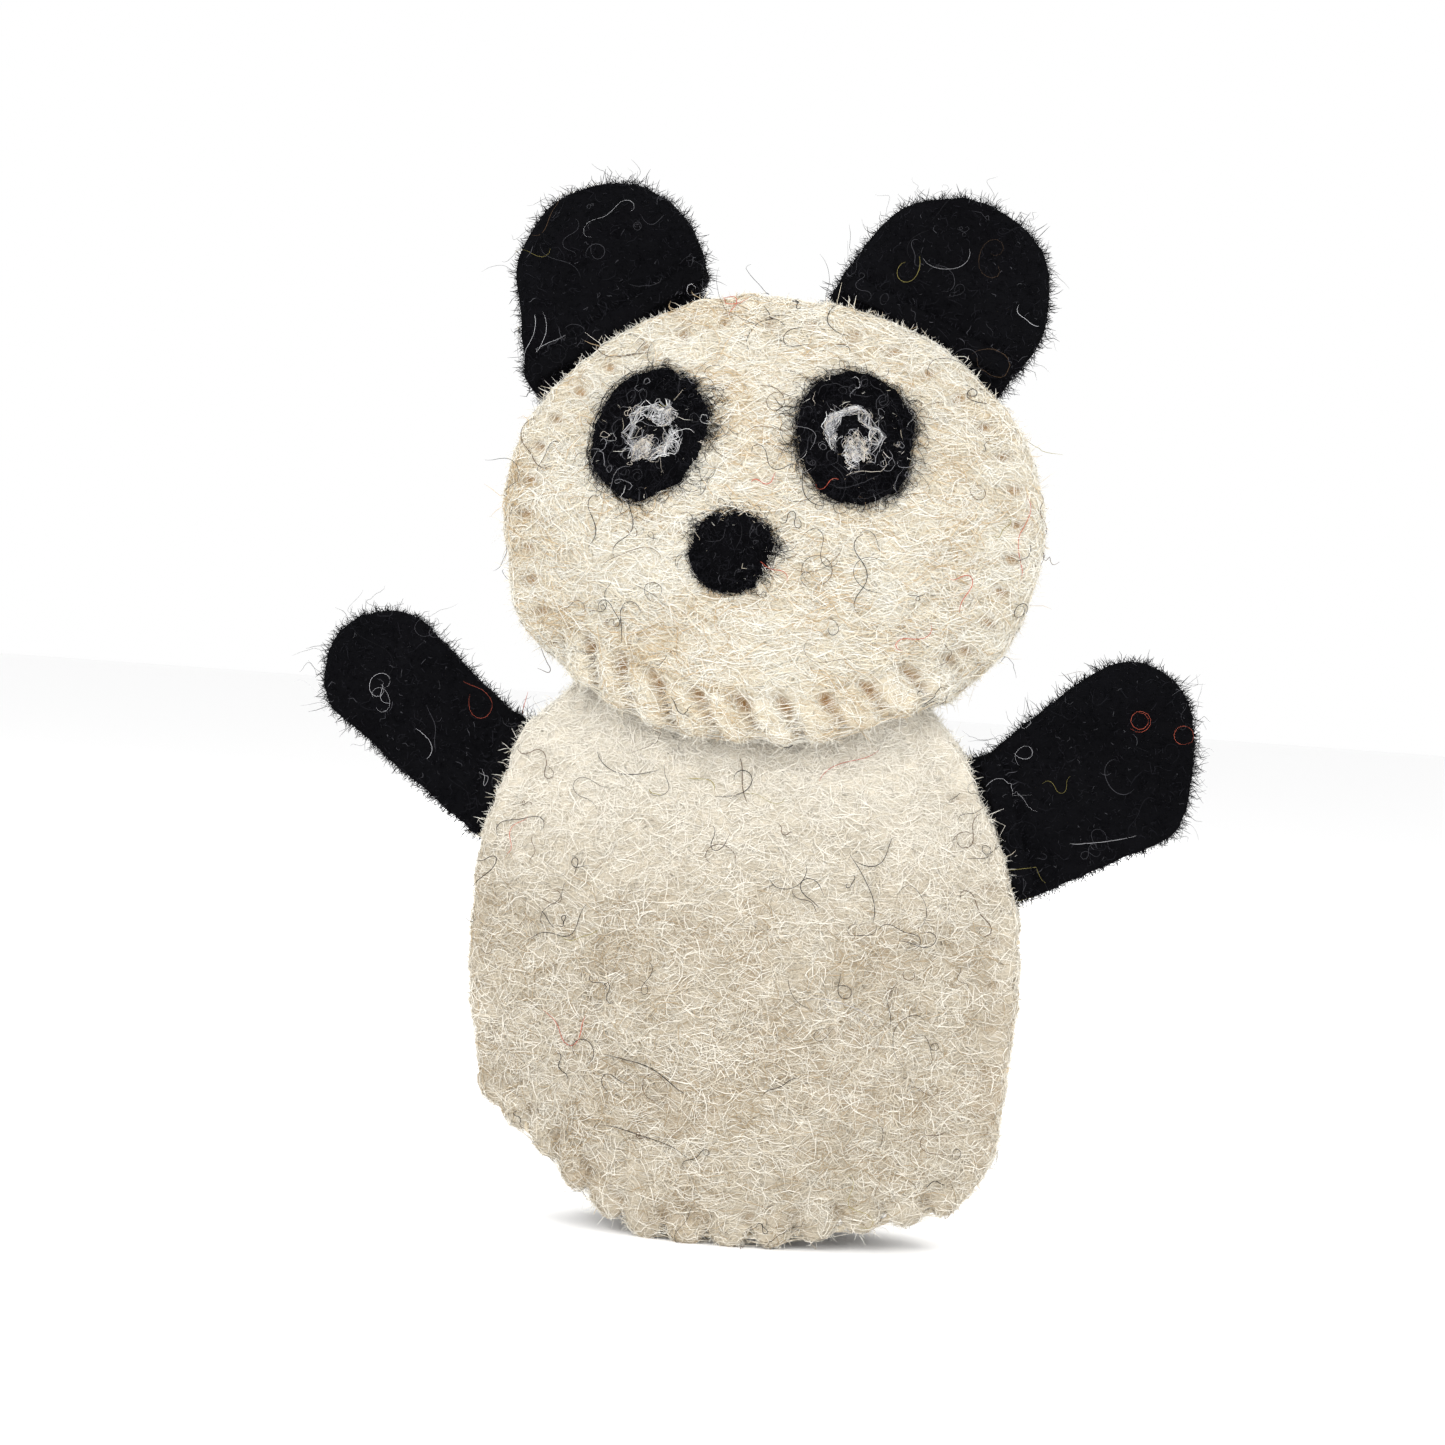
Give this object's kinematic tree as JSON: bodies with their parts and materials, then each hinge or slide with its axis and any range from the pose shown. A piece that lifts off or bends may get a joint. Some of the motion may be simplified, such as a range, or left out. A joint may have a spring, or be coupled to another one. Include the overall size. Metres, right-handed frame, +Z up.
{
  "type": "felt finger puppet",
  "caption": "Felt panda finger puppet with an open finger pocket, a padded head that nods, and flapping ears and arms.",
  "frame": {"origin": "middle of the finger pocket's mouth, level with the lowest point of the hem", "axes": "+Z up from the hem to the ears, the face looks along -Y, +X to the viewer's right"},
  "size_m": [0.0824, 0.0212, 0.0976],
  "materials": {
    "body_felt": "matte",
    "head_felt": "matte",
    "black_felt": "matte",
    "thread": "matte",
    "filling": "matte",
    "black_wool": "matte",
    "white_wool": "matte",
    "cream_wool": "matte"
  },
  "bodies": {
    "torso": {"body_front_panel": "body_felt", "body_back_panel": "body_felt", "side_seam_thread_left": "thread", "side_seam_thread_right": "thread", "hem_thread_front": "thread", "hem_thread_back": "thread", "arm_left_root": "black_felt", "arm_right_root": "black_felt"},
    "head": {"face_panel": "head_felt", "head_back_panel": "head_felt", "head_stuffing": "filling", "head_seam_thread": "thread", "neck_thread_front": "thread", "neck_thread_back": "thread", "nose": "black_wool", "eye_patch_left": "black_wool", "eye_patch_right": "black_wool", "eye_ring_left": "white_wool", "eye_ring_right": "white_wool", "eye_spot_left": "cream_wool", "eye_spot_right": "cream_wool", "ear_left_root": "black_felt", "ear_right_root": "black_felt"},
    "arm_left": {"arm_left_flap": "black_felt"},
    "arm_right": {"arm_right_flap": "black_felt"},
    "ear_left": {"ear_left_flap": "black_felt"},
    "ear_right": {"ear_right_flap": "black_felt"}
  },
  "joints": [
    {"name": "head_nod", "type": "hinge", "parent": "torso", "child": "head", "pos_m": [0, 0, 0.0496], "axis": [1, 0, 0], "range_deg": [-15, 15], "stiffness_Nm_per_rad": 0.02},
    {"name": "arm_left_flap", "type": "hinge", "parent": "torso", "child": "arm_left", "pos_m": [-0.02446, 0, 0.0409], "axis": [0.225, 0, 0.9744], "range_deg": [-60, 60], "stiffness_Nm_per_rad": 0.002},
    {"name": "arm_right_flap", "type": "hinge", "parent": "torso", "child": "arm_right", "pos_m": [0.02407, 0, 0.0398], "axis": [0.3256, 0, -0.9455], "range_deg": [-60, 60], "stiffness_Nm_per_rad": 0.002},
    {"name": "ear_left_flap", "type": "hinge", "parent": "head", "child": "ear_left", "pos_m": [-0.01669, 0, 0.08366], "axis": [0.8192, 0, 0.5736], "range_deg": [-40, 40], "stiffness_Nm_per_rad": 0.002},
    {"name": "ear_right_flap", "type": "hinge", "parent": "head", "child": "ear_right", "pos_m": [0.01318, 0, 0.0856], "axis": [0.9063, 0, -0.4226], "range_deg": [-40, 40], "stiffness_Nm_per_rad": 0.002}
  ]
}
